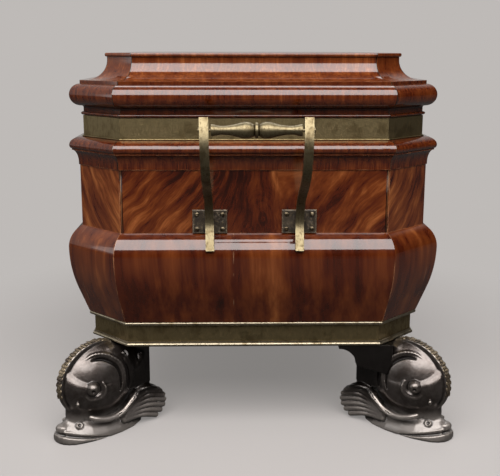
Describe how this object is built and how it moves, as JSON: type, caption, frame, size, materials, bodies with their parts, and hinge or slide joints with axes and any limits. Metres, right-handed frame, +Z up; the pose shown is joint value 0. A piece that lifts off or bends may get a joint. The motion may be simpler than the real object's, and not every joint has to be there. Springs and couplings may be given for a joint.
{
  "type": "cellarette",
  "caption": "Octagonal mahogany wine cellarette with a bulging lower body, brass bands, hinged moulded lid, carrying handles and carved dolphin-head feet.",
  "frame": {"origin": "on the ground, under the middle of the case", "axes": "+Z up, +Y along the case towards its left end, -X towards the front with the lock, +X towards the hinges"},
  "size_m": [0.6072, 0.929, 0.5671],
  "materials": {
    "bronzed_carving": "carved wood, bronzed, dark brown with a grey sheen",
    "striped_mahogany": "polished mahogany, straight stripe",
    "flame_mahogany": "polished mahogany, flame figure",
    "crossbanded_mahogany": "polished mahogany, crossbanded",
    "lid_mahogany": "polished mahogany",
    "carcase_wood": "plain oak, unpolished",
    "divider_wood": "plain mahogany, waxed",
    "lead": "dull grey lead sheet",
    "dull_brass": "old brass, dull and olive",
    "bright_brass": "brass, rubbed bright",
    "handle_brass": "brass, handled bright",
    "dark_bronze": "bronze, blackened",
    "screw_steel": "steel",
    "key_steel": "steel, worn",
    "hinge_brass": "brass"
  },
  "bodies": {
    "case": {"base_board": "carcase_wood", "base_frame": "carcase_wood", "base_lower_bead": "bright_brass", "base_band": "dull_brass", "base_upper_bead": "bright_brass", "foot_screws": "screw_steel", "dolphin_foot_back_right": "bronzed_carving", "dolphin_foot_back_left": "bronzed_carving", "dolphin_foot_front_left": "bronzed_carving", "dolphin_foot_front_right": "bronzed_carving", "bulge_right_end": "striped_mahogany", "bulge_back_right": "striped_mahogany", "bulge_back": "striped_mahogany", "bulge_back_left": "striped_mahogany", "bulge_left_end": "striped_mahogany", "bulge_front_left": "striped_mahogany", "bulge_front": "striped_mahogany", "bulge_front_right": "striped_mahogany", "frieze_right_end": "flame_mahogany", "frieze_back": "flame_mahogany", "frieze_left_end": "flame_mahogany", "frieze_front": "flame_mahogany", "frieze_corners": "flame_mahogany", "rim_moulding": "crossbanded_mahogany", "rim_frame": "carcase_wood", "upper_band": "dull_brass", "lead_lining": "lead", "long_bottle_dividers": "divider_wood", "cross_bottle_dividers": "divider_wood", "hinge_case_leaf_right": "hinge_brass", "hinge_case_leaf_left": "hinge_brass", "hinge_pins": "screw_steel", "hinge_case_screws": "screw_steel", "lock_case": "hinge_brass", "lock_face_plate": "hinge_brass", "escutcheon": "bright_brass", "handle_strap_right_front": "handle_brass", "handle_strap_right_back": "handle_brass", "handle_plate_right_front": "dark_bronze", "handle_plate_right_back": "dark_bronze", "handle_rod_right": "handle_brass", "handle_strap_left_front": "handle_brass", "handle_strap_left_back": "handle_brass", "handle_plate_left_front": "dark_bronze", "handle_plate_left_back": "dark_bronze", "handle_rod_left": "handle_brass", "handle_screws": "dark_bronze"},
    "lid": {"lid_astragal": "crossbanded_mahogany", "lid_torus": "crossbanded_mahogany", "lid_cavetto": "lid_mahogany", "lid_top_panel": "lid_mahogany", "hinge_lid_leaf_right": "hinge_brass", "hinge_lid_leaf_left": "hinge_brass", "hinge_lid_screws": "screw_steel", "lock_link_plate": "hinge_brass"},
    "right_grip": {"handle_grip_right": "handle_brass"},
    "left_grip": {"handle_grip_left": "handle_brass"},
    "key": {"key": "key_steel"},
    "bolt": {"lock_bolt": "hinge_brass"}
  },
  "joints": [
    {"name": "lid_hinge", "type": "hinge", "parent": "case", "child": "lid", "pos_m": [0.258, 0, 0.47738], "axis": [0, 1, 0], "range_deg": [0, 95]},
    {"name": "right_grip_turn", "type": "hinge", "parent": "case", "child": "right_grip", "pos_m": [0, -0.4535, 0.47008], "axis": [1, 0, 0], "continuous": true},
    {"name": "left_grip_turn", "type": "hinge", "parent": "case", "child": "left_grip", "pos_m": [0, 0.4535, 0.47008], "axis": [1, 0, 0], "continuous": true},
    {"name": "key_turn", "type": "hinge", "parent": "case", "child": "key", "pos_m": [-0.26, 0, 0.45508], "axis": [-1, 0, 0], "range_deg": [0, 180]},
    {"name": "bolt_slide", "type": "slide", "parent": "case", "child": "bolt", "axis": [0, 1, 0], "range_m": [0, 0.008]}
  ],
  "couplings": [
    {"joint": "key_turn", "follows": "bolt_slide", "rad_per_m": 392.69}
  ]
}
